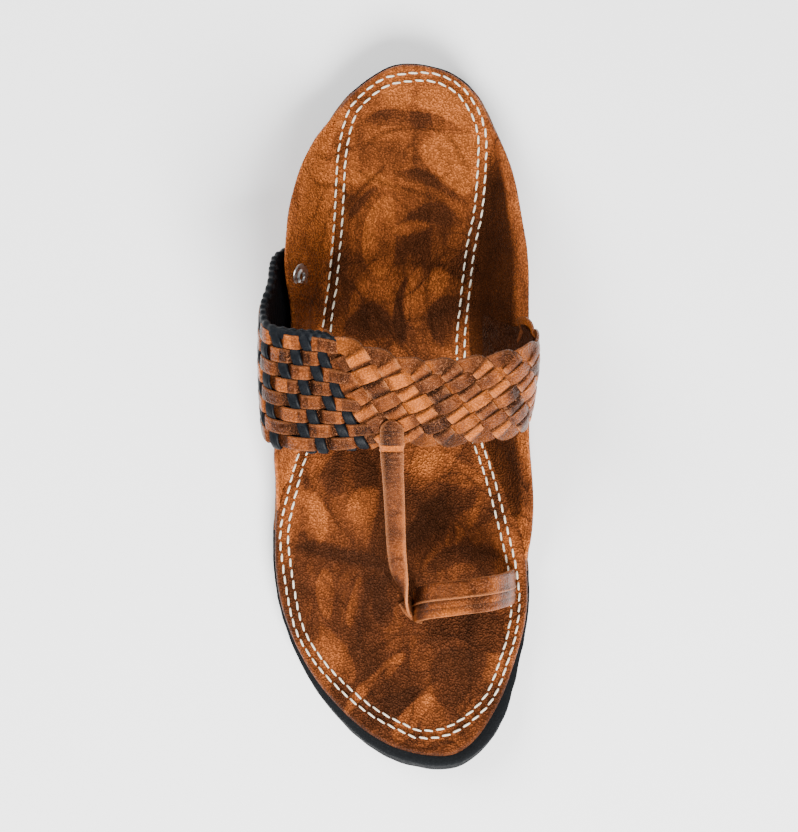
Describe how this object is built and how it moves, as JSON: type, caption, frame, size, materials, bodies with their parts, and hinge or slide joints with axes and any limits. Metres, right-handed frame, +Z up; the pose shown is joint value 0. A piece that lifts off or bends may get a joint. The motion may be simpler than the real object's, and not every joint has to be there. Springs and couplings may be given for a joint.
{
  "type": "kolhapuri sandal",
  "caption": "Leather toe-ring sandal for the right foot, with a woven instep band, thong strap and a toe ring on a raised-side footbed and a black foam sole.",
  "frame": {"origin": "middle of the footprint, on the floor", "axes": "+Z up, toe towards -Y, big-toe side towards +X"},
  "size_m": [0.1068, 0.2786, 0.0836],
  "materials": {
    "foam": "matt",
    "leather": "satin",
    "woven_leather": "satin",
    "silver": "satin"
  },
  "bodies": {
    "root": {"outsole": "foam", "heel_lift": "foam", "footbed": "leather", "medial_flank": "leather", "lateral_flank": "leather", "upper": "woven_leather", "medial_rivet": "silver", "lateral_rivet": "silver"}
  },
  "joints": []
}
